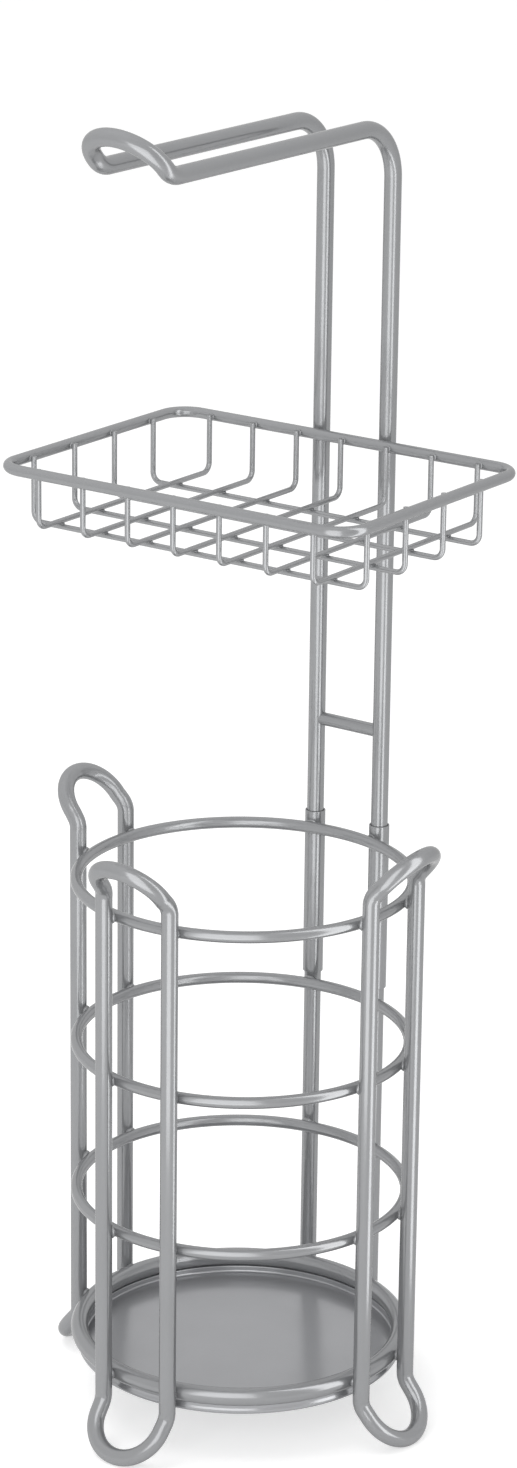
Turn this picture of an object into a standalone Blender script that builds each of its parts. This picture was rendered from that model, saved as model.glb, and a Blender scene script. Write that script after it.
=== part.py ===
"""Wire stand for toilet paper: a round cage for spare rolls, a shelf and a roll arm.

Metres, +Z up. The stand faces -Y. The origin is on the floor, at the middle of the whole stand.
The cage is one welded frame. The posts, arm and shelf are another, which lifts out of two sleeves.
"""
import math

import bmesh
import bpy
from mathutils import Matrix, Vector

# Rods and tubes, by diameter
LOOP_ROD = 0.0076
HOOP_ROD = 0.0053
RIM_ROD = 0.0080
POST_ROD = 0.0078
CROSSBAR_ROD = 0.0060
SHELF_ROD = 0.0050
SHELF_WIRE = 0.0025

# Gap left between pieces that are welded to each other
WELD_GAP = 0.0003

# Cage hoops, the lower two at shares of the top one's height
HOOP_RADIUS = 0.0752
TOP_HOOP_HEIGHT = 0.2507
MIDDLE_HOOP_SHARE = 0.6929
LOWER_HOOP_SHARE = 0.4041

# Hairpin loops round the cage, whose two ends fold outwards into a handle and a foot
LOOP_SPACING = 0.0356
HANDLE_SPACING = 0.0332
FOOT_SPACING = 0.0348
FOLD_RADIUS = 0.0080
FOLD_ANGLE = math.radians(41.0)
FOLD_STRAIGHT = 0.0088
HANDLE_FOLD_RISE = 0.0103
FOOT_FLAT_DEPTH = 0.0004

# Tray at the bottom of the cage, with a hem round its foot and a low wall under the rim
TRAY_HEIGHT = 0.0229
TRAY_SHEET = 0.0012
TRAY_WALL_HEIGHT = 0.0043
TRAY_HEM = 0.0032
TRAY_HEM_INSET = 0.0031

# Sleeves that join the posts to the back frame
SLEEVE_LENGTH = 0.0795
SLEEVE_WALL = 0.0006
SLEEVE_CLEARANCE = 0.0002
SLEEVE_TOP_RISE = 0.0065
POST_INSERTION = 0.0400

# Posts and roll arm, one rod
POST_SPACING = 0.0356
ARM_HEIGHT = 0.5800
ARM_BEND_RADIUS = 0.0240
ARM_LEVEL_LENGTH = 0.1577
TIP_RADIUS = 0.0120
TIP_ANGLE = math.radians(45.0)
TIP_STRAIGHT = 0.0100
CROSSBAR_HEIGHT = 0.3018

# Shelf
SHELF_WIDTH = 0.1840
SHELF_DEPTH = 0.1335
SHELF_CORNER_RADIUS = 0.0125
SHELF_RIM_HEIGHT = 0.4371
SHELF_DROP = 0.0281
WIRE_BEND_RADIUS = 0.0045
WIRE_TIP_RISE = 0.0010
CROSS_WIRE_COUNT = 7
CROSS_WIRE_PITCH = 0.0241
LONG_WIRE_COUNT = 4
LONG_WIRE_PITCH = 0.0290
LONG_WIRE_SHIFT = -0.0026

# Fineness of the facets
ROD_SIDES = 12
HOOP_SIDES = 10
WIRE_SIDES = 8
RING_STEPS = 48
TURN_STEPS = 14
FOLD_STEPS = 6
BEND_STEPS = 8
CORNER_STEPS = 6
WIRE_BEND_STEPS = 4
HEM_STEPS = 6

# Places that follow from the sizes above
MIDDLE_HOOP_HEIGHT = TOP_HOOP_HEIGHT * MIDDLE_HOOP_SHARE
LOWER_HOOP_HEIGHT = TOP_HOOP_HEIGHT * LOWER_HOOP_SHARE
HOOP_OUTSIDE = HOOP_RADIUS + HOOP_ROD / 2
SLEEVE_BORE_RADIUS = POST_ROD / 2 + SLEEVE_CLEARANCE
SLEEVE_RADIUS = SLEEVE_BORE_RADIUS + SLEEVE_WALL
SLEEVE_TOP = TOP_HOOP_HEIGHT + SLEEVE_TOP_RISE
SLEEVE_BOTTOM = SLEEVE_TOP - SLEEVE_LENGTH
POST_BOTTOM = SLEEVE_TOP - POST_INSERTION
BACK_FRAME_TOP = POST_BOTTOM - WELD_GAP
UPRIGHT_DISTANCE = HOOP_OUTSIDE + WELD_GAP + LOOP_ROD / 2
SLEEVE_DISTANCE = HOOP_OUTSIDE + WELD_GAP + SLEEVE_RADIUS
LOOP_REACH = math.sqrt(UPRIGHT_DISTANCE ** 2 - (LOOP_SPACING / 2) ** 2)
POST_REACH = math.sqrt(SLEEVE_DISTANCE ** 2 - (POST_SPACING / 2) ** 2)
RIM_RADIUS = HOOP_OUTSIDE - RIM_ROD / 2
RIM_HEIGHT = TRAY_HEIGHT + TRAY_WALL_HEIGHT + WELD_GAP + RIM_ROD / 2
TRAY_RADIUS = HOOP_OUTSIDE - TRAY_HEM_INSET
TRAY_WALL_RADIUS = TRAY_RADIUS - TRAY_HEM / 2
SHELF_BACK = POST_REACH - POST_ROD / 2 - WELD_GAP - SHELF_ROD / 2
SHELF_MIDDLE = SHELF_BACK - SHELF_DEPTH / 2
WIRE_INSET = SHELF_ROD / 2 + WELD_GAP + SHELF_WIRE / 2
LONG_WIRE_HEIGHT = SHELF_RIM_HEIGHT - SHELF_DROP
CROSS_WIRE_HEIGHT = LONG_WIRE_HEIGHT + SHELF_WIRE + WELD_GAP

# Paint, as the base colour, roughness and metallic value of each kind of piece
ROD_PAINT = ((0.40, 0.41, 0.44), 0.36, 0.55)
WIRE_PAINT = ((0.44, 0.45, 0.48), 0.38, 0.55)
SHEET_PAINT = ((0.34, 0.35, 0.38), 0.42, 0.50)


def fold(length, radius, angle):
    """How far out and how far on a rod is, this length past the start of a bend of one radius."""
    turned = min(max(length, 0.0) / radius, angle)
    past = max(length - radius * angle, 0.0)
    out = radius * (1 - math.cos(turned)) + past * math.sin(turned)
    along = radius * math.sin(turned) + past * math.cos(turned)
    return out, along


def hairpin_end(spacing, end_spacing, straight, radius, angle):
    """Right to left round the end of a hairpin: across, out and on from where its fold begins."""
    half = end_spacing / 2
    leg = []
    for step in range(FOLD_STEPS):
        share = step / FOLD_STEPS
        leg.append((spacing / 2 * (1 - share) + half * share, straight * share))
    run = list(leg)
    for step in range(TURN_STEPS + 1):
        turn = math.pi * step / TURN_STEPS
        run.append((half * math.cos(turn), straight + half * math.sin(turn)))
    run += [(-across, length) for across, length in reversed(leg)]
    return [(across, *fold(length, radius, angle)) for across, length in run]


def hairpin_reach(end_spacing, straight, radius, angle):
    """How far out and how far on the middle of a hairpin's end lies."""
    return fold(straight + end_spacing / 2, radius, angle)


def arc(centre, start, end, steps):
    """Points from one arm of a bend to the other; start and end are arms from the centre."""
    points = []
    for step in range(steps + 1):
        turn = math.pi / 2 * step / steps
        points.append(centre + start * math.cos(turn) + end * math.sin(turn))
    return points


def path_directions(points, closed):
    """Unit direction of a path at each of its points."""
    directions = []
    count = len(points)
    for index, point in enumerate(points):
        before = points[index - 1] if closed or index > 0 else None
        after = points[(index + 1) % count] if closed or index < count - 1 else None
        total = Vector()
        if before is not None:
            total += (point - before).normalized()
        if after is not None:
            total += (after - point).normalized()
        directions.append(total.normalized())
    return directions


def path_normals(directions, closed):
    """A normal at each point that doesn't twist, with what is left over spread along a closed path."""
    normals = [directions[0].orthogonal().normalized()]
    for before, after in zip(directions, directions[1:]):
        normals.append(before.rotation_difference(after) @ normals[-1])
    if not closed:
        return normals
    last = directions[-1].rotation_difference(directions[0]) @ normals[-1]
    side = directions[0].cross(normals[0])
    twist = math.atan2(last.dot(side), last.dot(normals[0]))
    count = len(normals)
    turned = []
    for index, normal in enumerate(normals):
        back = Matrix.Rotation(-twist * index / count, 3, directions[index])
        turned.append(back @ normal)
    return turned


def sweep(points, diameter, sides, closed=False):
    """A rod along a path, with flat ends unless the path closes on itself."""
    rod = bmesh.new()
    directions = path_directions(points, closed)
    normals = path_normals(directions, closed)
    rings = []
    for point, direction, normal in zip(points, directions, normals):
        side = direction.cross(normal)
        ring = []
        for step in range(sides):
            turn = 2 * math.pi * (step + 0.5) / sides
            offset = normal * math.cos(turn) + side * math.sin(turn)
            ring.append(rod.verts.new(point + offset * diameter / 2))
        rings.append(ring)
    pairs = list(zip(rings, rings[1:]))
    if closed:
        pairs.append((rings[-1], rings[0]))
    else:
        rod.faces.new(rings[0])
        rod.faces.new(rings[-1])
    for near, far in pairs:
        for step in range(sides):
            after = (step + 1) % sides
            rod.faces.new((near[step], near[after], far[after], far[step]))
    bmesh.ops.recalc_face_normals(rod, faces=rod.faces)
    return rod


def revolve(profile, steps):
    """A solid turned about the vertical axis, hollow unless its profile starts on the axis."""
    solid = bmesh.new()
    rings = []
    for radius, height in profile:
        if radius == 0:
            rings.append([solid.verts.new((0, 0, height))])
            continue
        ring = []
        for step in range(steps):
            turn = 2 * math.pi * step / steps
            place = (radius * math.cos(turn), radius * math.sin(turn), height)
            ring.append(solid.verts.new(place))
        rings.append(ring)
    hollow = profile[0][0] != 0
    pairs = list(zip(rings, rings[1:]))
    if hollow:
        pairs.append((rings[-1], rings[0]))
    for lower, upper in pairs:
        for step in range(steps):
            after = (step + 1) % steps
            corners = []
            for ring, place in ((lower, step), (lower, after), (upper, after), (upper, step)):
                vertex = ring[place] if len(ring) > 1 else ring[0]
                if vertex not in corners:
                    corners.append(vertex)
            solid.faces.new(corners)
    bmesh.ops.recalc_face_normals(solid, faces=solid.faces)
    return solid


def cut_flat_at_floor(rod):
    """Cut the underside of a foot flat at the floor, so that it bears on a face."""
    geometry = list(rod.verts) + list(rod.edges) + list(rod.faces)
    bmesh.ops.bisect_plane(rod, geom=geometry, plane_co=(0, 0, 0), plane_no=(0, 0, -1), clear_outer=True)
    open_edges = [edge for edge in rod.edges if edge.is_boundary]
    bmesh.ops.contextual_create(rod, geom=open_edges)
    bmesh.ops.recalc_face_normals(rod, faces=rod.faces)


def loop_solid():
    """A closed hairpin that faces -Y: two uprights, a folded handle and a folded foot."""
    drop = hairpin_reach(FOOT_SPACING, FOLD_STRAIGHT, FOLD_RADIUS, FOLD_ANGLE)[1]
    handle_fold = TOP_HOOP_HEIGHT + HANDLE_FOLD_RISE
    foot_fold = LOOP_ROD / 2 - FOOT_FLAT_DEPTH + drop
    handle = hairpin_end(LOOP_SPACING, HANDLE_SPACING, FOLD_STRAIGHT, FOLD_RADIUS, FOLD_ANGLE)
    foot = hairpin_end(LOOP_SPACING, FOOT_SPACING, FOLD_STRAIGHT, FOLD_RADIUS, FOLD_ANGLE)
    points = [Vector((across, -LOOP_REACH - out, handle_fold + on)) for across, out, on in handle]
    points += [Vector((across, -LOOP_REACH - out, foot_fold - on)) for across, out, on in reversed(foot)]
    rod = sweep(points, LOOP_ROD, ROD_SIDES, closed=True)
    cut_flat_at_floor(rod)
    return rod


def back_frame_solid():
    """An open hairpin at the back: a folded foot and two uprights that end inside the sleeves."""
    drop = hairpin_reach(FOOT_SPACING, FOLD_STRAIGHT, FOLD_RADIUS, FOLD_ANGLE)[1]
    foot_fold = POST_ROD / 2 - FOOT_FLAT_DEPTH + drop
    foot = hairpin_end(POST_SPACING, FOOT_SPACING, FOLD_STRAIGHT, FOLD_RADIUS, FOLD_ANGLE)
    points = [Vector((POST_SPACING / 2, POST_REACH, BACK_FRAME_TOP))]
    points += [Vector((across, POST_REACH + out, foot_fold - on)) for across, out, on in foot]
    points.append(Vector((-POST_SPACING / 2, POST_REACH, BACK_FRAME_TOP)))
    rod = sweep(points, POST_ROD, ROD_SIDES)
    cut_flat_at_floor(rod)
    return rod


def hoop_solid(radius, diameter):
    """A ring of rod about the vertical axis."""
    points = []
    for step in range(RING_STEPS):
        turn = 2 * math.pi * step / RING_STEPS
        points.append(Vector((radius * math.cos(turn), radius * math.sin(turn), 0)))
    return sweep(points, diameter, HOOP_SIDES, closed=True)


def tray_solid():
    """A round dish of sheet, hemmed round its foot and with a low wall, standing on its underside."""
    profile = [(0, 0)]
    for step in range(HEM_STEPS + 1):
        turn = math.pi * step / HEM_STEPS
        across = TRAY_WALL_RADIUS + TRAY_HEM / 2 * math.sin(turn)
        profile.append((across, TRAY_HEM / 2 - TRAY_HEM / 2 * math.cos(turn)))
    profile.append((TRAY_WALL_RADIUS, TRAY_WALL_HEIGHT))
    profile.append((TRAY_WALL_RADIUS - TRAY_SHEET, TRAY_WALL_HEIGHT))
    profile.append((TRAY_WALL_RADIUS - TRAY_SHEET, TRAY_SHEET))
    profile.append((0, TRAY_SHEET))
    return revolve(profile, RING_STEPS)


def sleeve_solid():
    """A plain tube, open at both ends, standing on its lower end."""
    profile = [
        (SLEEVE_BORE_RADIUS, 0),
        (SLEEVE_RADIUS, 0),
        (SLEEVE_RADIUS, SLEEVE_LENGTH),
        (SLEEVE_BORE_RADIUS, SLEEVE_LENGTH),
    ]
    return revolve(profile, 2 * ROD_SIDES)


def post_arm_solid():
    """One rod: up the right post, forwards as the arm, round its raised tip and back down the left."""
    half = POST_SPACING / 2
    radius = ARM_BEND_RADIUS
    centre = Vector((half, -radius, ARM_HEIGHT - radius))
    bend = arc(centre, Vector((0, radius, 0)), Vector((0, 0, radius)), BEND_STEPS)
    right = [Vector((half, 0, POST_BOTTOM))] + bend
    end = hairpin_end(POST_SPACING, POST_SPACING, TIP_STRAIGHT, TIP_RADIUS, TIP_ANGLE)
    tip = [Vector((across, -ARM_LEVEL_LENGTH - on, ARM_HEIGHT + out)) for across, out, on in end]
    left = [Vector((-point.x, point.y, point.z)) for point in reversed(right)]
    return sweep(right + tip + left, POST_ROD, ROD_SIDES)


def crossbar_solid():
    """A short straight rod between the posts."""
    half = (POST_SPACING - POST_ROD) / 2 - WELD_GAP
    return sweep([Vector((-half, 0, 0)), Vector((half, 0, 0))], CROSSBAR_ROD, ROD_SIDES)


def shelf_rim_solid():
    """A rectangle of rod with rounded corners, centred on its own middle."""
    radius = SHELF_CORNER_RADIUS
    points = []
    for across, deep in ((1, 1), (-1, 1), (-1, -1), (1, -1)):
        centre = Vector((across * (SHELF_WIDTH / 2 - radius), deep * (SHELF_DEPTH / 2 - radius), 0))
        aside = Vector((across * radius, 0, 0))
        ahead = Vector((0, deep * radius, 0))
        if across == deep:
            points += arc(centre, aside, ahead, CORNER_STEPS)
        else:
            points += arc(centre, ahead, aside, CORNER_STEPS)
    return sweep(points, SHELF_ROD, HOOP_SIDES, closed=True)


def shelf_wire_solid(length, drop):
    """A U of wire along X: two tips that reach up beside the rim and a floor this far below it."""
    half = length / 2
    radius = WIRE_BEND_RADIUS
    out = Vector((radius, 0, 0))
    down = Vector((0, 0, -radius))
    right = [Vector((half, 0, WIRE_TIP_RISE))]
    right += arc(Vector((half - radius, 0, radius - drop)), out, down, WIRE_BEND_STEPS)
    left = [Vector((-point.x, 0, point.z)) for point in reversed(right)]
    return sweep(right + left, SHELF_WIRE, WIRE_SIDES)


def finished_mesh(name, solid):
    """A mesh from a solid, smooth on its round faces and sharp at its ends."""
    mesh = bpy.data.meshes.new(name)
    solid.to_mesh(mesh)
    solid.free()
    mesh.shade_smooth()
    mesh.set_sharp_from_angle(angle=math.radians(50.0))
    return mesh


def painted(name, paint):
    """A Principled material in one kind of paint."""
    colour, roughness, metallic = paint
    material = bpy.data.materials.new(name + "_paint")
    material.use_nodes = True
    shader = material.node_tree.nodes["Principled BSDF"]
    shader.inputs["Base Color"].default_value = (*colour, 1)
    shader.inputs["Roughness"].default_value = roughness
    shader.inputs["Metallic"].default_value = metallic
    return material


def place(name, mesh, paint, parent, location=(0, 0, 0), turn=0.0):
    """Put a mesh in the scene as one named piece, with its own paint."""
    piece = bpy.data.objects.new(name, mesh)
    bpy.context.scene.collection.objects.link(piece)
    piece.parent = parent
    piece.location = location
    piece.rotation_euler = (0, 0, turn)
    if not mesh.materials:
        mesh.materials.append(None)
    slot = piece.material_slots[0]
    slot.link = 'OBJECT'
    slot.material = painted(name, paint)
    return piece


def guide(name, parent, location):
    """An empty that carries pieces."""
    empty = bpy.data.objects.new(name, None)
    bpy.context.scene.collection.objects.link(empty)
    empty.parent = parent
    empty.location = location
    return empty


def stand_centre():
    """How far back from the stand's middle the cage's axis is."""
    arm = ARM_LEVEL_LENGTH + hairpin_reach(POST_SPACING, TIP_STRAIGHT, TIP_RADIUS, TIP_ANGLE)[1]
    foot_out = hairpin_reach(FOOT_SPACING, FOLD_STRAIGHT, FOLD_RADIUS, FOLD_ANGLE)[0]
    front = max(arm - POST_REACH + POST_ROD / 2, LOOP_REACH + foot_out + LOOP_ROD / 2)
    back = POST_REACH + foot_out + POST_ROD / 2
    return (front - back) / 2


def build_cage(cage):
    """Hoops, loops, tray, back frame and sleeves, all fixed to each other."""
    hoop = finished_mesh("hoop", hoop_solid(HOOP_RADIUS, HOOP_ROD))
    heights = {"top": TOP_HOOP_HEIGHT, "middle": MIDDLE_HOOP_HEIGHT, "lower": LOWER_HOOP_HEIGHT}
    for where, height in heights.items():
        place(where + "_hoop", hoop, ROD_PAINT, cage, (0, 0, height))
    loop = finished_mesh("loop", loop_solid())
    turns = {"front": 0.0, "right": math.pi / 2, "left": -math.pi / 2}
    for where, turn in turns.items():
        place(where + "_loop", loop, ROD_PAINT, cage, turn=turn)
    place("back_frame", finished_mesh("back_frame", back_frame_solid()), ROD_PAINT, cage)
    sleeve = finished_mesh("sleeve", sleeve_solid())
    for where, side in (("left", -1), ("right", 1)):
        spot = (side * POST_SPACING / 2, POST_REACH, SLEEVE_BOTTOM)
        place(where + "_sleeve", sleeve, ROD_PAINT, cage, spot)
    place("tray", finished_mesh("tray", tray_solid()), SHEET_PAINT, cage, (0, 0, TRAY_HEIGHT))
    rim = finished_mesh("tray_rim", hoop_solid(RIM_RADIUS, RIM_ROD))
    place("tray_rim", rim, ROD_PAINT, cage, (0, 0, RIM_HEIGHT))


def build_upper(cage):
    """Posts, arm, crossbar and shelf, which lift together out of the sleeves."""
    upper = guide("upper_slide", cage, (0, POST_REACH, 0))
    place("post_and_arm", finished_mesh("post_and_arm", post_arm_solid()), ROD_PAINT, upper)
    bar = finished_mesh("crossbar", crossbar_solid())
    place("crossbar", bar, ROD_PAINT, upper, (0, 0, CROSSBAR_HEIGHT))
    shelf = guide("shelf_middle", upper, (0, SHELF_MIDDLE - POST_REACH, SHELF_RIM_HEIGHT))
    place("shelf_rim", finished_mesh("shelf_rim", shelf_rim_solid()), ROD_PAINT, shelf)
    inside_depth = SHELF_DEPTH - 2 * WIRE_INSET
    inside_width = SHELF_WIDTH - 2 * WIRE_INSET
    cross_drop = SHELF_RIM_HEIGHT - CROSS_WIRE_HEIGHT
    cross = finished_mesh("cross_wire", shelf_wire_solid(inside_depth, cross_drop))
    for index in range(CROSS_WIRE_COUNT):
        across = (index - (CROSS_WIRE_COUNT - 1) / 2) * CROSS_WIRE_PITCH
        name = "shelf_cross_wire_%d" % (index + 1)
        place(name, cross, WIRE_PAINT, shelf, (across, 0, 0), math.pi / 2)
    long_wire = finished_mesh("long_wire", shelf_wire_solid(inside_width, SHELF_DROP))
    for index in range(LONG_WIRE_COUNT):
        deep = (index - (LONG_WIRE_COUNT - 1) / 2) * LONG_WIRE_PITCH + LONG_WIRE_SHIFT
        place("shelf_long_wire_%d" % (index + 1), long_wire, WIRE_PAINT, shelf, (0, deep, 0))


def main():
    for old in list(bpy.data.objects):
        bpy.data.objects.remove(old, do_unlink=True)
    cage = guide("cage_axis", None, (0, stand_centre(), 0))
    build_cage(cage)
    build_upper(cage)


main()
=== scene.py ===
"""Finished model of a wire toilet paper stand: rods, wires, tray, welds, paint and stage.

Metres, +Z up. The stand faces -Y, and its middle is on the floor at the origin.
"""
import math

import bmesh
import bpy
from mathutils import Matrix, Vector


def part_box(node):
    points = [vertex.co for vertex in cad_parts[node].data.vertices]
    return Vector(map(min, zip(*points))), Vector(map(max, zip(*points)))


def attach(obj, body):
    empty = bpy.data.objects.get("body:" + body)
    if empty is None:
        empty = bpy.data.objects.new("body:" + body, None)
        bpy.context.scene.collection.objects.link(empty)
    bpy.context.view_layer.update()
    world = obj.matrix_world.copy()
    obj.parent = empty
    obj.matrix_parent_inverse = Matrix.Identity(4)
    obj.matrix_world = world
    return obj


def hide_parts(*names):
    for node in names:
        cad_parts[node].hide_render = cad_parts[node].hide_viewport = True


bl_info = {
    "name": "Wire Toilet Paper Stand",
    "version": (1, 0, 0),
    "blender": (4, 5, 0),
    "location": "3D Viewport > Sidebar > Paper Stand",
    "description": "Dresses a wire toilet paper stand: rods, wires, tray, welds and satin paint",
    "category": "Object",
}

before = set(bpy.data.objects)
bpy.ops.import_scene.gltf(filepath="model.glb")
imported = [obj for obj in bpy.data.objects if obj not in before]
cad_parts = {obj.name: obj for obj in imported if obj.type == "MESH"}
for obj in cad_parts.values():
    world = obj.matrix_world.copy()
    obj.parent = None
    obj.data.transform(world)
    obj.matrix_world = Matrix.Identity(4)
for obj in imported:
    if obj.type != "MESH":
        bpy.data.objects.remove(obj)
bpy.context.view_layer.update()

# Fineness of the pieces
ROD_SIDES = 28
HOOP_SIDES = 22
WIRE_SIDES = 14
RING_STEPS = 144
TRAY_STEPS = 160
SLEEVE_STEPS = 48
LIP_STEPS = 8
HEM_STEPS = 9
FLOOR_CORNER_STEPS = 6
LEG_STEPS = 12
TURN_STEPS = 48
ARM_BEND_STEPS = 24
RIM_CORNER_STEPS = 16
WIRE_BEND_STEPS = 10

# A wire's tip: how far below its end, in diameters, it has which share of its thickness
TIP_DEPTH_SHARES = (0.0, 0.12, 0.36)
TIP_GIRTH_SHARES = (0.30, 0.78, 1.0)

# The bar's flared end: how far past a post's face, in diameters, it has which share of its thickness
FLARE_SHARES = ((0.4, 1.16), (0.0, 1.12), (-0.1, 1.04), (-0.2, 1.0))

# The tray's edge: how far its hem turns, and how far its neck stands out as a share of the hem's radius
HEM_TURN = math.radians(127.8)
NECK_SHARE = 0.62

# Faces that meet at more than this stay sharp, and corners closer than this are one
SHARP_ANGLE = math.radians(40.0)
SAME_PLACE = 1e-7

# Scale and detail of the noise in the paint, and which of its levels count
PEEL_NOISE = (620.0, 1.0)
FLAKE_NOISE = (5200.0, 0.0)
CLOUD_NOISE = (42.0, 3.0)
PATCH_NOISE = (1.0, 4.0)
NOISE_LEVELS = (0.30, 0.70)
PATCH_LEVELS = (0.42, 0.66)

# Roughness that the paint loses and gains with its clouds, and the strength of its orange peel
GLOSS_SPREAD = (-0.015, 0.025)
PEEL_STRENGTH = 0.035

# Panels: name, place, width and watts. Cards: name, place, lower and upper end, width and watts
PANELS = (
    ("top_panel", (-0.45, -0.35, 2.10), 1.3, 13.0),
    ("front_panel", (0.60, -2.10, 1.10), 1.4, 14.0),
)
CARDS = (
    ("front_card", (0.135, -0.28), 0.06, 0.64, 0.22, 0.68),
    ("right_card", (0.198, 0.0), 0.02, 0.80, 0.072, 0.44),
)
PANEL_TARGET = (0.0, 0.0, 0.30)


def middle_of(node):
    """Middle of a CAD node's box."""
    low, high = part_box(node)
    return (low + high) / 2


CAGE_Y = middle_of("top_hoop").y
SHELF_MIDDLE = middle_of("shelf_rim")


def length(default, name, description):
    """A length that a user may change, in metres."""
    return bpy.props.FloatProperty(
        name=name, description=description, default=default, min=0.0, unit='LENGTH', precision=5)


def tilt(degrees, name, description):
    """An angle that a user may change, given in degrees."""
    return bpy.props.FloatProperty(
        name=name, description=description, default=math.radians(degrees), subtype='ANGLE')


def colour(default, name, description):
    """A paint colour that a user may change."""
    return bpy.props.FloatVectorProperty(
        name=name, description=description, default=default, size=3, min=0.0, max=1.0, subtype='COLOR')


def share(default, name, description):
    """A share from nought to one that a user may change."""
    return bpy.props.FloatProperty(
        name=name, description=description, default=default, min=0.0, max=1.0, subtype='FACTOR')


class StandSizes(bpy.types.PropertyGroup):
    """Rods, hoops, loops, tray and arm."""
    loop_rod: length(0.0076, "Loop rod", "Diameter of the rod of the three hairpin loops")
    hoop_rod: length(0.0053, "Hoop rod", "Diameter of the rod of the three hoops")
    rim_rod: length(0.0080, "Tray rim rod", "Diameter of the bead round the tray")
    post_rod: length(0.0078, "Post rod", "Diameter of the posts, the arm and the back frame")
    crossbar_rod: length(0.0060, "Crossbar rod", "Diameter of the bar between the posts")
    weld_gap: length(0.0003, "Weld gap", "Gap between pieces that are welded to each other")
    hoop_radius: length(0.0752, "Hoop radius", "From the cage's axis to the middle of a hoop's rod")
    upright_spacing: length(0.0356, "Upright spacing", "Between the middles of a pair of uprights")
    handle_spacing: length(0.0332, "Handle spacing", "Across a handle's half circle")
    foot_spacing: length(0.0348, "Foot spacing", "Across a foot's half circle")
    fold_radius: length(0.0080, "Fold radius", "Bend that turns handles and feet outwards")
    fold_angle: tilt(41.0, "Fold angle", "How far handles and feet turn outwards")
    fold_straight: length(0.0087, "Fold leg", "Leg between the fold's start and the half circle")
    handle_rise: length(0.0103, "Handle rise", "From the top hoop up to the start of a handle's fold")
    foot_flat: length(0.0004, "Foot flat", "Depth that the floor takes off a foot's round underside")
    tray_sheet: length(0.0012, "Tray sheet", "Thickness of the tray")
    tray_hem: length(0.0032, "Tray hem", "Thickness of the rolled edge round the tray's foot")
    sleeve_wall: length(0.0006, "Sleeve wall", "Thickness of a sleeve's wall")
    sleeve_clearance: length(0.0002, "Sleeve clearance", "Between a post and its sleeve")
    arm_height: length(0.5800, "Arm height", "Middle of the arm's rods above the floor")
    arm_bend: length(0.0240, "Arm bend", "Radius of the bend from post to arm")
    arm_level: length(0.1577, "Arm length", "Level run of the arm, from the posts to its raised tip")
    tip_radius: length(0.0120, "Tip bend", "Radius of the bend that raises the tip")
    tip_angle: tilt(45.0, "Tip angle", "How steeply the tip rises")
    tip_straight: length(0.0098, "Tip leg", "Leg between the tip's bend and its half circle")


class ShelfSizes(bpy.types.PropertyGroup):
    """The wire shelf."""
    rim_rod: length(0.0050, "Rim rod", "Diameter of the rod round the shelf")
    wire: length(0.0025, "Wire", "Diameter of the thin wires")
    width: length(0.1840, "Width", "Between the middles of the rim's sides")
    depth: length(0.1335, "Depth", "Between the middles of the rim's front and back")
    corner: length(0.0125, "Corner radius", "Radius of the rim's corners")
    drop: length(0.0281, "Drop", "From the rim down to the long wires")
    wire_bend: length(0.0045, "Wire bend", "Radius at the lower corners of a wire")
    tip_rise: length(0.0010, "Tip rise", "How far a wire's tip stands above the rim's middle")
    cross_pitch: length(0.0241, "Cross wire pitch", "Between front-to-back wires")
    long_pitch: length(0.0290, "Long wire pitch", "Between side-to-side wires")
    long_shift: bpy.props.FloatProperty(
        name="Long wire shift", description="How far the long wires lie behind the shelf's middle",
        default=-0.0026, unit='LENGTH', precision=5)
    cross_count: bpy.props.IntProperty(
        name="Cross wires", description="Number of front-to-back wires", default=7, min=1)
    long_count: bpy.props.IntProperty(
        name="Long wires", description="Number of side-to-side wires", default=4, min=1)


class WeldSizes(bpy.types.PropertyGroup):
    """Weld beads."""
    cage_bead: length(0.0028, "Cage bead", "Half width of a bead between a hoop and an upright")
    cage_bite: length(0.0013, "Cage bite", "How deep a bead runs into a hoop and an upright")
    sleeve_bite: share(0.70, "Sleeve bite", "How deep a bead runs into a sleeve, as a share of its wall")
    post_bead: length(0.0020, "Post bead", "Half width of a bead between the shelf and a post")
    post_bite: length(0.0008, "Post bite", "How deep a bead runs into the shelf's rim and a post")
    tip_bead: share(0.62, "Tip bead", "Half width of a bead at a wire's tip, as a share of the wire")
    tip_bite: length(0.00045, "Tip bite", "How deep a bead runs into a wire's tip and the rim")
    crossing_bead: share(0.42, "Crossing bead", "Half width of a bead between wires, as a share of the wire")
    crossing_bite: length(0.00028, "Crossing bite", "How deep a bead runs into two wires that cross")
    unevenness: share(0.12, "Unevenness", "How much the beads differ in size")


class PaintLooks(bpy.types.PropertyGroup):
    """Colours of the satin paint and how worn it is."""
    rod: colour((0.328, 0.333, 0.341), "Rod paint", "Silver grey on rods and tubes")
    wire: colour((0.350, 0.355, 0.363), "Wire paint", "Silver grey on the thin wires")
    # The tray's colour is the rods' silver grey made lighter by painted light, which stands in for light
    # bounced onto the tray
    tray: colour((0.400, 0.405, 0.418), "Tray paint", "Silver grey on the tray")
    weld: colour((0.325, 0.330, 0.338), "Weld paint", "Paint that has pooled round a weld")
    rubbed: colour((0.500, 0.505, 0.515), "Rubbed paint", "Paint polished where the floor rubs it")
    metal: share(0.50, "Metallic", "How metallic the paint looks")
    roughness: share(0.20, "Roughness", "Roughness of the rods' paint")
    flake: share(0.03, "Flake", "How much lighter and darker the metal flake is")
    cloud: share(0.30, "Cloudiness", "How strongly the darkest clouds show")
    cloud_shade: share(0.90, "Cloud shade", "Brightness of a cloud against the paint")
    rub_reach: length(0.0016, "Rub height", "How far up a foot its paint is rubbed")


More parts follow.
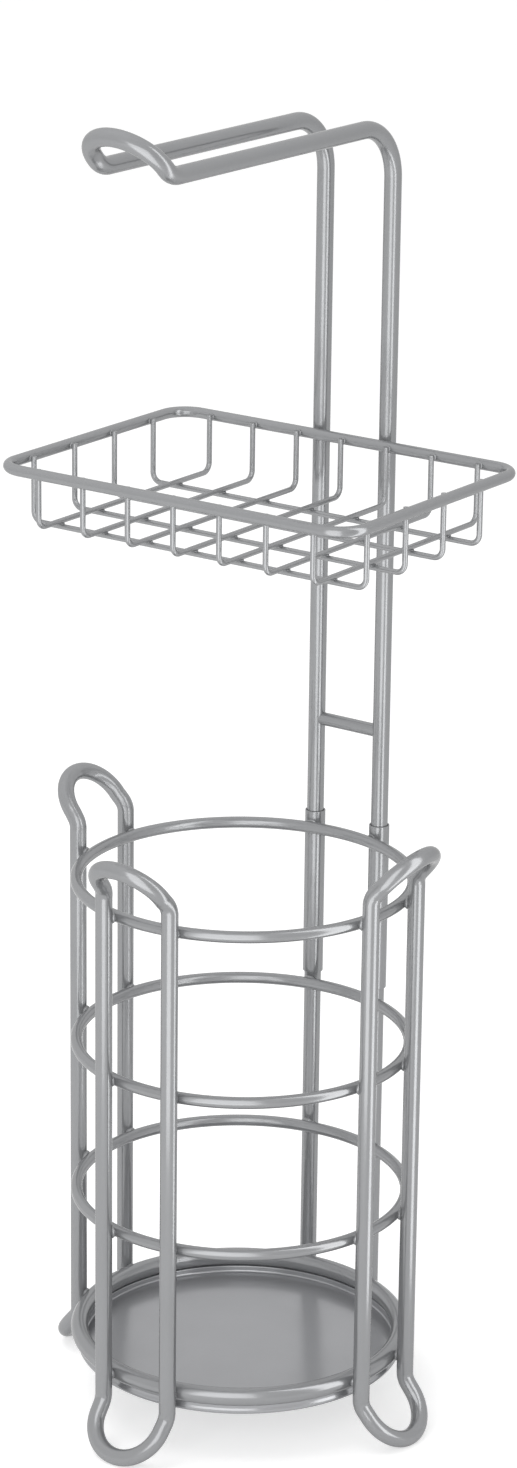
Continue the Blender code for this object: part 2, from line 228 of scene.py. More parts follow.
class StageLooks(bpy.types.PropertyGroup):
    """Camera, floor and light."""
    camera_place: bpy.props.FloatVectorProperty(
        name="Camera place", description="Where the camera stands",
        default=(1.03987, CAGE_Y - 1.46172, 0.90175), subtype='TRANSLATION')
    camera_yaw: tilt(35.2546, "Camera yaw", "Turn of the view from +Y towards -X")
    camera_pitch: tilt(18.0226, "Camera pitch", "How far the view looks down")
    camera_roll: tilt(0.6907, "Camera roll", "Turn of the picture about the view")
    lens: bpy.props.FloatProperty(
        name="Lens", description="Focal length in millimetres for a picture 36 mm high", default=104.85)
    floor: colour((0.80, 0.80, 0.80), "Floor", "Colour of the floor")
    floor_half: length(9.0, "Floor reach", "From the floor's middle to its edge")
    floor_glow: share(0.52, "Floor glow", "How bright the floor is of itself where it is seen directly")
    sky: share(0.58, "Sky", "Strength of the even light from all round")


# Ways along the rods

def fold(run, radius, angle):
    """How far out and how far on a rod is, this far past the start of a bend of one radius."""
    turned = min(max(run, 0.0) / radius, angle)
    past = max(run - radius * angle, 0.0)
    out = radius * (1 - math.cos(turned)) + past * math.sin(turned)
    along = radius * math.sin(turned) + past * math.cos(turned)
    return out, along


def hairpin_end(spacing, end_spacing, straight, radius, angle):
    """Right to left round the end of a hairpin: across, out and on from where its fold begins."""
    half = end_spacing / 2
    leg = []
    for step in range(LEG_STEPS):
        part = step / LEG_STEPS
        leg.append((spacing / 2 * (1 - part) + half * part, straight * part))
    run = list(leg)
    for step in range(TURN_STEPS + 1):
        turn = math.pi * step / TURN_STEPS
        run.append((half * math.cos(turn), straight + half * math.sin(turn)))
    run += [(-across, on) for across, on in reversed(leg)]
    return [(across, *fold(on, radius, angle)) for across, on in run]


def arc(centre, start, end, steps):
    """Points from one arm of a bend to the other; start and end are arms from the centre."""
    points = []
    for step in range(steps + 1):
        turn = math.pi / 2 * step / steps
        points.append(centre + start * math.cos(turn) + end * math.sin(turn))
    return points


def circle(radius, height):
    """Points of a level circle about the cage's axis."""
    points = []
    for step in range(RING_STEPS):
        turn = 2 * math.pi * step / RING_STEPS
        points.append(Vector((radius * math.cos(turn), CAGE_Y + radius * math.sin(turn), height)))
    return points


def turned(point, turn):
    """A point of the front loop, turned about the cage's axis."""
    across, out = point.x, point.y - CAGE_Y
    x = across * math.cos(turn) - out * math.sin(turn)
    y = across * math.sin(turn) + out * math.cos(turn)
    return Vector((x, CAGE_Y + y, point.z))


def half_round(middle, height, across, up):
    """A half circle over a wall's edge, without its two ends; across and up are radii with their signs."""
    points = []
    for step in range(1, LIP_STEPS):
        turn = math.pi * step / LIP_STEPS
        points.append((middle + across * math.cos(turn), height + up * math.sin(turn)))
    return points


def sleeve_radii(sizes):
    """Inner and outer radius of a sleeve."""
    inner = sizes.post_rod / 2 + sizes.sleeve_clearance
    return inner, inner + sizes.sleeve_wall


def loop_reach(sizes):
    """From the cage's axis out to the plane of a loop's uprights."""
    away = sizes.hoop_radius + sizes.hoop_rod / 2 + sizes.weld_gap + sizes.loop_rod / 2
    return math.sqrt(away ** 2 - (sizes.upright_spacing / 2) ** 2)


def post_reach(sizes):
    """From the cage's axis back to the plane of the posts."""
    away = sizes.hoop_radius + sizes.hoop_rod / 2 + sizes.weld_gap + sleeve_radii(sizes)[1]
    return math.sqrt(away ** 2 - (sizes.upright_spacing / 2) ** 2)


def rim_radius(sizes):
    """Radius of the tray's rim, whose outside is flush with the hoops' outside."""
    return sizes.hoop_radius + sizes.hoop_rod / 2 - sizes.rim_rod / 2


def foot_points(sizes, rod):
    """A foot's half circle: across, out and height."""
    straight, radius, angle = sizes.fold_straight, sizes.fold_radius, sizes.fold_angle
    end = hairpin_end(sizes.upright_spacing, sizes.foot_spacing, straight, radius, angle)
    drop = fold(straight + sizes.foot_spacing / 2, radius, angle)[1]
    start = rod / 2 - sizes.foot_flat + drop
    return [(across, out, start - on) for across, out, on in end]


def loop_points(sizes):
    """A closed hairpin at the front of the cage."""
    reach = loop_reach(sizes)
    start = middle_of("top_hoop").z + sizes.handle_rise
    straight, radius, angle = sizes.fold_straight, sizes.fold_radius, sizes.fold_angle
    handle = hairpin_end(sizes.upright_spacing, sizes.handle_spacing, straight, radius, angle)
    points = [Vector((across, CAGE_Y - reach - out, start + on)) for across, out, on in handle]
    foot = foot_points(sizes, sizes.loop_rod)
    points += [Vector((across, CAGE_Y - reach - out, height)) for across, out, height in reversed(foot)]
    return points


def back_frame_points(sizes):
    """The open hairpin at the back, from sleeve to sleeve by way of the foot."""
    reach = CAGE_Y + post_reach(sizes)
    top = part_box("back_frame")[1].z
    half = sizes.upright_spacing / 2
    points = [Vector((half, reach, top))]
    foot = foot_points(sizes, sizes.post_rod)
    points += [Vector((across, reach + out, height)) for across, out, height in foot]
    points.append(Vector((-half, reach, top)))
    return points


def post_arm_points(sizes):
    """Up the right post, forwards as the arm, round its tip and back down the left."""
    reach = CAGE_Y + post_reach(sizes)
    half = sizes.upright_spacing / 2
    bend = sizes.arm_bend
    centre = Vector((half, reach - bend, sizes.arm_height - bend))
    right = [Vector((half, reach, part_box("post_and_arm")[0].z))]
    right += arc(centre, Vector((0, bend, 0)), Vector((0, 0, bend)), ARM_BEND_STEPS)
    spacing = sizes.upright_spacing
    end = hairpin_end(spacing, spacing, sizes.tip_straight, sizes.tip_radius, sizes.tip_angle)
    front = reach - sizes.arm_level
    tip = [Vector((across, front - on, sizes.arm_height + out)) for across, out, on in end]
    left = [Vector((-point.x, point.y, point.z)) for point in reversed(right)]
    return right + tip + left


def shelf_rim_points(shelf):
    """A level rectangle with rounded corners."""
    radius = shelf.corner
    points = []
    for across, deep in ((1, 1), (-1, 1), (-1, -1), (1, -1)):
        corner = Vector((across * (shelf.width / 2 - radius), deep * (shelf.depth / 2 - radius), 0))
        aside = Vector((across * radius, 0, 0))
        ahead = Vector((0, deep * radius, 0))
        if across == deep:
            points += arc(SHELF_MIDDLE + corner, aside, ahead, RIM_CORNER_STEPS)
        else:
            points += arc(SHELF_MIDDLE + corner, ahead, aside, RIM_CORNER_STEPS)
    return points


def wire_places(count, pitch, shift=0.0):
    """How far from the shelf's middle each of a row of wires lies."""
    return [(index - (count - 1) / 2) * pitch + shift for index in range(count)]


def wire_points(shelf, span, drop, along, middle):
    """A U of wire: down from one tip, across the shelf's floor and up to the other tip."""
    half = span / 2
    radius = shelf.wire_bend
    up = Vector((0, 0, 1))
    tip = along * half + up * shelf.tip_rise
    centre = along * (half - radius) + up * (radius - drop)
    right = [tip - up * shelf.wire * depth for depth in TIP_DEPTH_SHARES]
    right += arc(centre, along * radius, up * -radius, WIRE_BEND_STEPS)
    left = [point - 2 * along * point.dot(along) for point in reversed(right)]
    return [middle + point for point in right + left]


# Geometry Nodes

def new_group(name, kind, inputs, outputs):
    """A node group with its sockets, entry and exit; the last two are None if it is there already."""
    group = bpy.data.node_groups.get(name)
    if group:
        return group, None, None
    group = bpy.data.node_groups.new(name, kind)
    for label, socket_kind in inputs:
        group.interface.new_socket(label, in_out='INPUT', socket_type='NodeSocket' + socket_kind)
    for label, socket_kind in outputs:
        group.interface.new_socket(label, in_out='OUTPUT', socket_type='NodeSocket' + socket_kind)
    return group, group.nodes.new('NodeGroupInput'), group.nodes.new('NodeGroupOutput')


def maths(nodes, operation):
    """A node that works out one sum."""
    node = nodes.new('ShaderNodeMath')
    node.operation = operation
    return node


def stored(nodes, name, kind):
    """What each point of a guide stores under a name."""
    node = nodes.new('GeometryNodeInputNamedAttribute')
    node.data_type = kind
    node.inputs["Name"].default_value = name
    return node.outputs["Attribute"]


def chain(tree, *nodes):
    """Join nodes one after the other by their geometry."""
    for before, after in zip(nodes, nodes[1:]):
        tree.links.new(before.outputs[0], after.inputs[0])


def rod_tree():
    """Tree that turns a path of edges into a round rod."""
    inputs = (("Geometry", 'Geometry'), ("Diameter", 'Float'), ("Sides", 'Int'), ("Paint", 'Material'))
    tree, entry, leave = new_group("rod_along_path", 'GeometryNodeTree', inputs, inputs[:1])
    if entry is None:
        return tree
    add, link = tree.nodes.new, tree.links.new
    curve = add('GeometryNodeMeshToCurve')
    thick = add('GeometryNodeSetCurveRadius')
    half = maths(tree.nodes, 'DIVIDE')
    half.inputs[1].default_value = 2.0
    ring = add('GeometryNodeCurvePrimitiveCircle')
    skin = add('GeometryNodeCurveToMesh')
    skin.inputs["Fill Caps"].default_value = True
    smooth = add('GeometryNodeSetShadeSmooth')
    real = add('GeometryNodeRealizeInstances')
    paint = add('GeometryNodeSetMaterial')
    chain(tree, entry, curve, thick, skin, smooth, real, paint, leave)
    link(stored(tree.nodes, "girth", 'FLOAT'), thick.inputs["Radius"])
    link(entry.outputs["Diameter"], half.inputs[0])
    link(half.outputs[0], ring.inputs["Radius"])
    link(entry.outputs["Sides"], ring.inputs["Resolution"])
    link(ring.outputs["Curve"], skin.inputs["Profile Curve"])
    link(entry.outputs["Paint"], paint.inputs["Material"])
    return tree


def weld_tree():
    """Tree that puts a flattened bead at each point, facing the way the point says."""
    inputs = (("Geometry", 'Geometry'), ("Unevenness", 'Float'), ("Seed", 'Int'), ("Paint", 'Material'))
    tree, entry, leave = new_group("weld_beads", 'GeometryNodeTree', inputs, inputs[:1])
    if entry is None:
        return tree
    add, link = tree.nodes.new, tree.links.new
    bead = add('GeometryNodeMeshIcoSphere')
    bead.inputs["Radius"].default_value = 1.0
    bead.inputs["Subdivisions"].default_value = 3
    align = add('FunctionNodeAlignRotationToVector')
    align.axis = 'Z'
    uneven = add('FunctionNodeRandomValue')
    uneven.data_type = 'FLOAT'
    for operation, end in (('SUBTRACT', 2), ('ADD', 3)):
        limit = maths(tree.nodes, operation)
        limit.inputs[0].default_value = 1.0
        link(entry.outputs["Unevenness"], limit.inputs[1])
        link(limit.outputs[0], uneven.inputs[end])
    sized = add('ShaderNodeVectorMath')
    sized.operation = 'SCALE'
    place = add('GeometryNodeInstanceOnPoints')
    smooth = add('GeometryNodeSetShadeSmooth')
    real = add('GeometryNodeRealizeInstances')
    paint = add('GeometryNodeSetMaterial')
    chain(tree, entry, place, real, smooth, paint, leave)
    link(bead.outputs["Mesh"], place.inputs["Instance"])
    link(stored(tree.nodes, "facing", 'FLOAT_VECTOR'), align.inputs["Vector"])
    link(align.outputs["Rotation"], place.inputs["Rotation"])
    link(entry.outputs["Seed"], uneven.inputs["Seed"])
    link(stored(tree.nodes, "size", 'FLOAT_VECTOR'), sized.inputs[0])
    link(uneven.outputs[1], sized.inputs["Scale"])
    link(sized.outputs["Vector"], place.inputs["Scale"])
    link(entry.outputs["Paint"], paint.inputs["Material"])
    return tree


def set_inputs(modifier, values):
    """Set a modifier's inputs by the names that its tree gives them."""
    sockets = {}
    for item in modifier.node_group.interface.items_tree:
        if item.item_type == 'SOCKET' and item.in_out == 'INPUT':
            sockets[item.name] = item.identifier
    for name, value in values.items():
        modifier[sockets[name]] = value


def linked(name, mesh):
    """A new object in the scene."""
    made = bpy.data.objects.new(name, mesh)
    bpy.context.scene.collection.objects.link(made)
    return made


def grown(name, guide, tree, values):
    """Run a tree on a guide mesh and keep what it makes as a plain piece."""
    host = linked(name + "_guide", guide)
    modifier = host.modifiers.new("shape", 'NODES')
    modifier.node_group = tree
    set_inputs(modifier, values)
    graph = bpy.context.evaluated_depsgraph_get()
    mesh = bpy.data.meshes.new_from_object(host.evaluated_get(graph))
    bpy.data.objects.remove(host)
    bpy.data.meshes.remove(guide)
    for extra in [item.name for item in mesh.attributes if item.name in ("girth", "facing", "size")]:
        mesh.attributes.remove(mesh.attributes[extra])
    mesh.name = name
    return linked(name, mesh)


def face_outwards(mesh):
    """Turn the faces of closed shells outwards."""
    shell = bmesh.new()
    shell.from_mesh(mesh)
    bmesh.ops.remove_doubles(shell, verts=shell.verts, dist=SAME_PLACE)
    bmesh.ops.recalc_face_normals(shell, faces=shell.faces)
    shell.to_mesh(mesh)
    shell.free()


def rod(name, points, diameter, paint, closed=False, sides=ROD_SIDES, girths=None):
    """A round rod along a path; girths scale its thickness point by point."""
    edges = [(step, step + 1) for step in range(len(points) - 1)]
    if closed:
        edges.append((len(points) - 1, 0))
    guide = bpy.data.meshes.new(name + "_path")
    guide.from_pydata(points, edges, [])
    layer = guide.attributes.new("girth", 'FLOAT', 'POINT')
    layer.data.foreach_set("value", girths or [1.0] * len(points))
    piece = grown(name, guide, rod_tree(), {"Diameter": diameter, "Sides": sides, "Paint": paint})
    face_outwards(piece.data)
    return piece


def beads(name, welds, paint):
    """Weld beads, each given as its place, the way it faces and its half sizes."""
    guide = bpy.data.meshes.new(name + "_points")
    guide.from_pydata([place for place, facing, size in welds], [], [])
    for label, column in (("facing", 1), ("size", 2)):
        layer = guide.attributes.new(label, 'FLOAT_VECTOR', 'POINT')
        layer.data.foreach_set("vector", [part for weld in welds for part in weld[column]])
    unevenness = bpy.context.scene.stand_welds.unevenness
    piece = grown(name, guide, weld_tree(), {"Unevenness": unevenness, "Seed": 4, "Paint": paint})
    face_outwards(piece.data)
    return piece


def stand_on_floor(mesh):
    """Press what is below the floor flat against it."""
    for vertex in mesh.vertices:
        vertex.co.z = max(vertex.co.z, 0.0)
    mesh.update()


def cope(mesh, middle, spacing, radius):
    """Cut a level bar's ends to the round of the two posts that it meets."""
    for vertex in mesh.vertices:
        aside = min(abs(vertex.co.y - middle.y), radius)
        reach = spacing / 2 - math.sqrt(radius ** 2 - aside ** 2)
        vertex.co.x = max(-reach, min(reach, vertex.co.x))
    mesh.update()


def spun(name, profile, centre, steps, paint):
    """A piece turned about an upright axis through centre; a profile from the axis makes a closed dish."""
    shape = bmesh.new()
    rings = []
    for radius, height in profile:
        if radius == 0:
            rings.append([shape.verts.new((centre.x, centre.y, height))])
            continue
        ring = []
        for step in range(steps):
            turn = 2 * math.pi * step / steps
            x = centre.x + radius * math.cos(turn)
            y = centre.y + radius * math.sin(turn)
            ring.append(shape.verts.new((x, y, height)))
        rings.append(ring)
    pairs = list(zip(rings, rings[1:]))
    if profile[0][0] != 0:
        pairs.append((rings[-1], rings[0]))
    for lower, upper in pairs:
        for step in range(steps):
            after = (step + 1) % steps
            corners = []
            for ring, index in ((lower, step), (lower, after), (upper, after), (upper, step)):
                vertex = ring[index] if len(ring) > 1 else ring[0]
                if vertex not in corners:
                    corners.append(vertex)
            shape.faces.new(corners)
    bmesh.ops.recalc_face_normals(shape, faces=shape.faces)
    mesh = bpy.data.meshes.new(name)
    shape.to_mesh(mesh)
    shape.free()
    mesh.shade_smooth()
    mesh.set_sharp_from_angle(angle=SHARP_ANGLE)
    mesh.materials.append(paint)
    return linked(name, mesh)


def settle(piece, body, slot, *nodes):
    """Put a finished piece on its body, in place of its CAD nodes."""
    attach(piece, body)
    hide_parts(*nodes)


# Paint

def shader_group(name, inputs, outputs):
    """A group of shader nodes whose sockets are all numbers."""
    numbers = [[(label, 'Float') for label in labels] for labels in (inputs, outputs)]
    return new_group(name, 'ShaderNodeTree', *numbers)


def noise(group, coordinates, scale_socket, factor, detail):
    """Noise on object coordinates at a multiple of a group's scale input."""
    add, link = group.nodes.new, group.links.new
    times = maths(group.nodes, 'MULTIPLY')
    times.inputs[1].default_value = factor
    grains = add('ShaderNodeTexNoise')
    grains.inputs["Detail"].default_value = detail
    link(scale_socket, times.inputs[0])
    link(times.outputs[0], grains.inputs["Scale"])
    link(coordinates, grains.inputs["Vector"])
    return grains.outputs["Fac"]


def paint_skin():
    """Sprayed paint: orange peel as a height, metal flake and slow cloudiness as masks."""
    group, entry, leave = shader_group("paint_skin", ["Scale"], ["Peel", "Flake", "Cloud"])
    if entry is None:
        return group
    place = group.nodes.new('ShaderNodeTexCoord').outputs["Object"]
    scale = entry.outputs["Scale"]
    group.links.new(noise(group, place, scale, *PEEL_NOISE), leave.inputs["Peel"])
    group.links.new(noise(group, place, scale, *FLAKE_NOISE), leave.inputs["Flake"])
    group.links.new(noise(group, place, scale, *CLOUD_NOISE), leave.inputs["Cloud"])
    return group


def rub_marks():
    """Mask of paint rubbed near one height above the floor, broken up by noise."""
    group, entry, leave = shader_group("rub_marks", ["Height", "Reach", "Scale"], ["Mask"])
    if entry is None:
        return group
    add, link = group.nodes.new, group.links.new
    place = add('ShaderNodeTexCoord').outputs["Object"]
    split = add('ShaderNodeSeparateXYZ')
    away = maths(group.nodes, 'SUBTRACT')
    size = maths(group.nodes, 'ABSOLUTE')
    near = add('ShaderNodeMapRange')
    near.inputs["To Min"].default_value = 1.0
    near.inputs["To Max"].default_value = 0.0
    patchy = add('ShaderNodeMapRange')
    patchy.inputs["From Min"].default_value = PATCH_LEVELS[0]
    patchy.inputs["From Max"].default_value = PATCH_LEVELS[1]
    both = maths(group.nodes, 'MULTIPLY')
    link(place, split.inputs[0])
    link(split.outputs["Z"], away.inputs[0])
    link(entry.outputs["Height"], away.inputs[1])
    link(away.outputs[0], size.inputs[0])
    link(size.outputs[0], near.inputs["Value"])
    link(entry.outputs["Reach"], near.inputs["From Max"])
    link(noise(group, place, entry.outputs["Scale"], *PATCH_NOISE), patchy.inputs["Value"])
    link(near.outputs["Result"], both.inputs[0])
    link(patchy.outputs["Result"], both.inputs[1])
    link(both.outputs[0], leave.inputs["Mask"])
    return group


def placed_group(nodes, group, values):
    """A shader group placed in a material with its own values."""
    node = nodes.new('ShaderNodeGroup')
    node.node_tree = group
    for label, value in values.items():
        node.inputs[label].default_value = value
    return node


def mixed(material, factor, first, second):
    """Colour mixed by a mask; each colour is a value or a socket."""
    nodes, links = material.node_tree.nodes, material.node_tree.links
    mix = nodes.new('ShaderNodeMix')
    mix.data_type = 'RGBA'
    links.new(factor, mix.inputs["Factor"])
    for socket, source in ((mix.inputs[6], first), (mix.inputs[7], second)):
        if isinstance(source, bpy.types.NodeSocket):
            links.new(source, socket)
        else:
            socket.default_value = (*source, 1.0)
    return mix.outputs[2]


def ranged(material, source, low, high):
    """A mask spread between two values."""
    nodes, links = material.node_tree.nodes, material.node_tree.links
    node = nodes.new('ShaderNodeMapRange')
    node.inputs["From Min"].default_value = NOISE_LEVELS[0]
    node.inputs["From Max"].default_value = NOISE_LEVELS[1]
    node.inputs["To Min"].default_value = low
    node.inputs["To Max"].default_value = high
    links.new(source, node.inputs["Value"])
    return node.outputs["Result"]


def shade(colour_value, factor):
    """A colour made darker or lighter."""
    return [min(part * factor, 1.0) for part in colour_value]


def satin_paint(name, base, rubbed=False, rougher=0.0, peel=1.0):
    """Satin silver-grey paint with flake, orange peel and cloudiness, rubbed at the floor if asked."""
    material = bpy.data.materials.get(name)
    if material:
        return material
    looks = bpy.context.scene.stand_paint
    material = bpy.data.materials.new(name)
    material.use_nodes = True
    nodes, links = material.node_tree.nodes, material.node_tree.links
    surface = nodes["Principled BSDF"]
    skin = placed_group(nodes, paint_skin(), {"Scale": 1.0})
    grains = ranged(material, skin.outputs["Flake"], 0.0, 1.0)
    tint = mixed(material, grains, shade(base, 1 - looks.flake), shade(base, 1 + looks.flake))
    clouds = ranged(material, skin.outputs["Cloud"], 0.0, looks.cloud)
    tint = mixed(material, clouds, tint, shade(base, looks.cloud_shade))
    level = looks.roughness + rougher
    gloss = ranged(material, skin.outputs["Cloud"], level + GLOSS_SPREAD[0], level + GLOSS_SPREAD[1])
    if rubbed:
        marks = placed_group(nodes, rub_marks(), {"Height": 0.0, "Reach": looks.rub_reach, "Scale": 260.0})
        tint = mixed(material, marks.outputs["Mask"], tint, looks.rubbed)
    links.new(tint, surface.inputs["Base Color"])
    links.new(gloss, surface.inputs["Roughness"])
    surface.inputs["Metallic"].default_value = looks.metal
    surface.inputs["Specular IOR Level"].default_value = 0.35
    surface.inputs["Specular Tint"].default_value = (0.55, 0.55, 0.55, 1.0)
    surface.inputs["Coat Weight"].default_value = 0.06
    surface.inputs["Coat Roughness"].default_value = 0.14
    bump = nodes.new('ShaderNodeBump')
    bump.inputs["Strength"].default_value = PEEL_STRENGTH * peel
    bump.inputs["Distance"].default_value = 0.0002
    links.new(skin.outputs["Peel"], bump.inputs["Height"])
    links.new(bump.outputs["Normal"], surface.inputs["Normal"])
    return material


def bead_size(width, gap, bite):
    """Half sizes of a bead that fills a gap and runs into the piece on each side of it."""
    return width, width, gap / 2 + bite


def pooled_paint(name):
    """Paint that has pooled round a weld: duller and with more orange peel."""
    return satin_paint(name, bpy.context.scene.stand_paint.weld, rougher=0.08, peel=2.5)


# Pieces

class STAND_OT_hoops(bpy.types.Operator):
    """Make the three level hoops of the cage"""
    bl_idname = "stand.hoops"
    bl_label = "Hoops"

    def execute(self, context):
        sizes = context.scene.stand_sizes
        paint = satin_paint("hoop_paint", context.scene.stand_paint.rod)
        for node in ("top_hoop", "middle_hoop", "lower_hoop"):
            points = circle(sizes.hoop_radius, middle_of(node).z)
            piece = rod(node + "_rod", points, sizes.hoop_rod, paint, closed=True, sides=HOOP_SIDES)
            settle(piece, "base", "rod_paint", node)
        return {'FINISHED'}


class STAND_OT_loops(bpy.types.Operator):
    """Make the three hairpin loops with their handles and feet"""
    bl_idname = "stand.loops"
    bl_label = "Hairpin loops"

    def execute(self, context):
        sizes = context.scene.stand_sizes
        paint = satin_paint("loop_paint", context.scene.stand_paint.rod, rubbed=True)
        front = loop_points(sizes)
        for node, turn in (("front_loop", 0.0), ("right_loop", math.pi / 2), ("left_loop", -math.pi / 2)):
            points = [turned(point, turn) for point in front]
            piece = rod(node + "_rod", points, sizes.loop_rod, paint, closed=True)
            stand_on_floor(piece.data)
            settle(piece, "base", "rod_paint", node)
        return {'FINISHED'}


class STAND_OT_back_frame(bpy.types.Operator):
    """Make the back foot and the two tubes that rise into the sleeves"""
    bl_idname = "stand.back_frame"
    bl_label = "Back frame"

    def execute(self, context):
        sizes = context.scene.stand_sizes
        paint = satin_paint("back_frame_paint", context.scene.stand_paint.rod, rubbed=True)
        piece = rod("back_frame_rod", back_frame_points(sizes), sizes.post_rod, paint)
        stand_on_floor(piece.data)
        settle(piece, "base", "rod_paint", "back_frame")
        return {'FINISHED'}


class STAND_OT_sleeves(bpy.types.Operator):
    """Make the two sleeves that join the posts to the back frame"""
    bl_idname = "stand.sleeves"
    bl_label = "Sleeves"

    def execute(self, context):
        sizes = context.scene.stand_sizes
        paint = satin_paint("sleeve_paint", context.scene.stand_paint.rod, peel=0.7)
        inner, outer = sleeve_radii(sizes)
        lip = sizes.sleeve_wall / 2
        for node in ("left_sleeve", "right_sleeve"):
            low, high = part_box(node)
            profile = [(inner, low.z + lip), (inner, high.z - lip)]
            profile += half_round(inner + lip, high.z - lip, -lip, lip)
            profile += [(outer, high.z - lip), (outer, low.z + lip)]
            profile += half_round(inner + lip, low.z + lip, lip, -lip)
            piece = spun(node + "_tube", profile, middle_of(node), SLEEVE_STEPS, paint)
            settle(piece, "base", "rod_paint", node)
        return {'FINISHED'}


class STAND_OT_tray(bpy.types.Operator):
    """Make the round tray and the rod round its edge"""
    bl_idname = "stand.tray"
    bl_label = "Tray"

    def execute(self, context):
        sizes = context.scene.stand_sizes
        looks = context.scene.stand_paint
        low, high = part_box("tray")
        hem, sheet = sizes.tray_hem / 2, sizes.tray_sheet
        wall = (high.x - low.x) / 2 - hem
        neck = wall + hem * NECK_SHARE
        lip = sheet / 2
        clear = sheet / 24
        profile = [(0, low.z)]
        for step in range(HEM_STEPS + 1):
            turn = HEM_TURN * step / HEM_STEPS
            profile.append((wall + hem * math.sin(turn), low.z + hem - hem * math.cos(turn)))
        middle = middle_of("tray_rim").z
        radius = sizes.rim_rod / 2
        ring = rim_radius(sizes)
        under = middle - math.sqrt(radius ** 2 - (neck - ring) ** 2)
        profile.append((neck, low.z + 2 * hem))
        profile.append((neck, under - clear))
        profile.append((ring, middle - radius - clear))
        profile += half_round(wall - lip, high.z - lip, lip, lip)
        profile.append((wall - sheet, high.z - lip))
        for step in range(FLOOR_CORNER_STEPS + 1):
            turn = math.pi / 2 * step / FLOOR_CORNER_STEPS
            across = wall - sheet - sheet * (1 - math.cos(turn))
            profile.append((across, low.z + 2 * sheet - sheet * math.sin(turn)))
        profile.append((0, low.z + sheet))
        # Painted light: the tray's paint is lighter than the rods' same paint, in place of light bounced
        # onto it
        paint = satin_paint("tray_paint_with_painted_light", looks.tray, peel=0.3)
        dish = spun("tray_dish", profile, middle_of("tray"), TRAY_STEPS, paint)
        settle(dish, "base", "sheet_paint", "tray")
        rim_paint = satin_paint("tray_rim_paint", looks.rod)
        points = circle(ring, middle)
        rim = rod("tray_rim_rod", points, sizes.rim_rod, rim_paint, closed=True)
        settle(rim, "base", "rod_paint", "tray_rim")
        return {'FINISHED'}


class STAND_OT_posts(bpy.types.Operator):
    """Make the posts, the arm and the bar between the posts"""
    bl_idname = "stand.posts"
    bl_label = "Posts and arm"

    def execute(self, context):
        sizes = context.scene.stand_sizes
        looks = context.scene.stand_paint
        paint = satin_paint("post_paint", looks.rod)
        piece = rod("post_and_arm_rod", post_arm_points(sizes), sizes.post_rod, paint)
        settle(piece, "upper", "rod_paint", "post_and_arm")
        middle = middle_of("crossbar")
        half = (sizes.upright_spacing - sizes.post_rod) / 2
        steps = [(half + sizes.crossbar_rod * past, girth) for past, girth in FLARE_SHARES]
        steps = [(-place, girth) for place, girth in steps] + steps[::-1]
        points = [middle + Vector((place, 0, 0)) for place, girth in steps]
        girths = [girth for place, girth in steps]
        paint = satin_paint("crossbar_paint", looks.rod)
        bar = rod("crossbar_rod", points, sizes.crossbar_rod, paint, girths=girths)
        cope(bar.data, middle, sizes.upright_spacing, sizes.post_rod / 2)
        settle(bar, "upper", "rod_paint", "crossbar")
        return {'FINISHED'}


class STAND_OT_shelf(bpy.types.Operator):
    """Make the shelf's rim and the wires that hang in it"""
    bl_idname = "stand.shelf"
    bl_label = "Wire shelf"

    def execute(self, context):
        shelf = context.scene.stand_shelf
        looks = context.scene.stand_paint
        gap = context.scene.stand_sizes.weld_gap
        paint = satin_paint("shelf_rim_paint", looks.rod)
        points = shelf_rim_points(shelf)
        rim = rod("shelf_rim_rod", points, shelf.rim_rod, paint, closed=True, sides=HOOP_SIDES)
        settle(rim, "upper", "rod_paint", "shelf_rim")
        paint = satin_paint("shelf_wire_paint", looks.wire)
        inset = shelf.rim_rod + 2 * gap + shelf.wire
        lift = shelf.wire + gap
        across, deep = Vector((1, 0, 0)), Vector((0, 1, 0))
        crosses = wire_places(shelf.cross_count, shelf.cross_pitch)
        longs = wire_places(shelf.long_count, shelf.long_pitch, shelf.long_shift)
        for kind, places, aside, along, span, drop in (
                ("cross", crosses, across, deep, shelf.depth - inset, shelf.drop - lift),
                ("long", longs, deep, across, shelf.width - inset, shelf.drop)):
            for index, place in enumerate(places):
                points = wire_points(shelf, span, drop, along, SHELF_MIDDLE + aside * place)
                tip = list(TIP_GIRTH_SHARES)
                girths = tip + [1.0] * (len(points) - 2 * len(tip)) + tip[::-1]
                node = "shelf_%s_wire_%d" % (kind, index + 1)
                piece = rod(node + "_rod", points, shelf.wire, paint, sides=WIRE_SIDES, girths=girths)
                settle(piece, "upper", "wire_paint", node)
        return {'FINISHED'}


class STAND_OT_cage_welds(bpy.types.Operator):
    """Make the weld beads of the cage and the tray"""
    bl_idname = "stand.cage_welds"
    bl_label = "Cage welds"

    def execute(self, context):
        sizes = context.scene.stand_sizes
        bead = context.scene.stand_welds
        half = sizes.upright_spacing / 2
        uprights = []
        for turn in (0.0, math.pi / 2, -math.pi / 2):
            for side in (-1, 1):
                foot = Vector((side * half, CAGE_Y - loop_reach(sizes), 0))
                uprights.append((turned(foot, turn), sizes.loop_rod / 2, False))
        for side in (-1, 1):
            uprights.append((Vector((side * half, CAGE_Y + post_reach(sizes), 0)), sizes.post_rod / 2, True))
        inner = sizes.hoop_radius + sizes.hoop_rod / 2
        welds = []
        for place, radius, sleeved in uprights:
            out = Vector((place.x, place.y - CAGE_Y, 0))
            away = out.length
            out.normalize()
            for node in ("top_hoop", "middle_hoop", "lower_hoop", "tray_rim"):
                own, bite = radius, bead.cage_bite
                if sleeved and node == "top_hoop":
                    own, bite = sleeve_radii(sizes)[1], sizes.sleeve_wall * bead.sleeve_bite
                gap = away - own - inner
                spot = out * (inner + gap / 2)
                height = middle_of(node).z
                size = bead_size(bead.cage_bead, gap, bite)
                welds.append((Vector((spot.x, CAGE_Y + spot.y, height)), out, size))
        piece = beads("cage_welds", welds, pooled_paint("cage_weld_paint"))
        settle(piece, "base", "rod_paint")
        return {'FINISHED'}


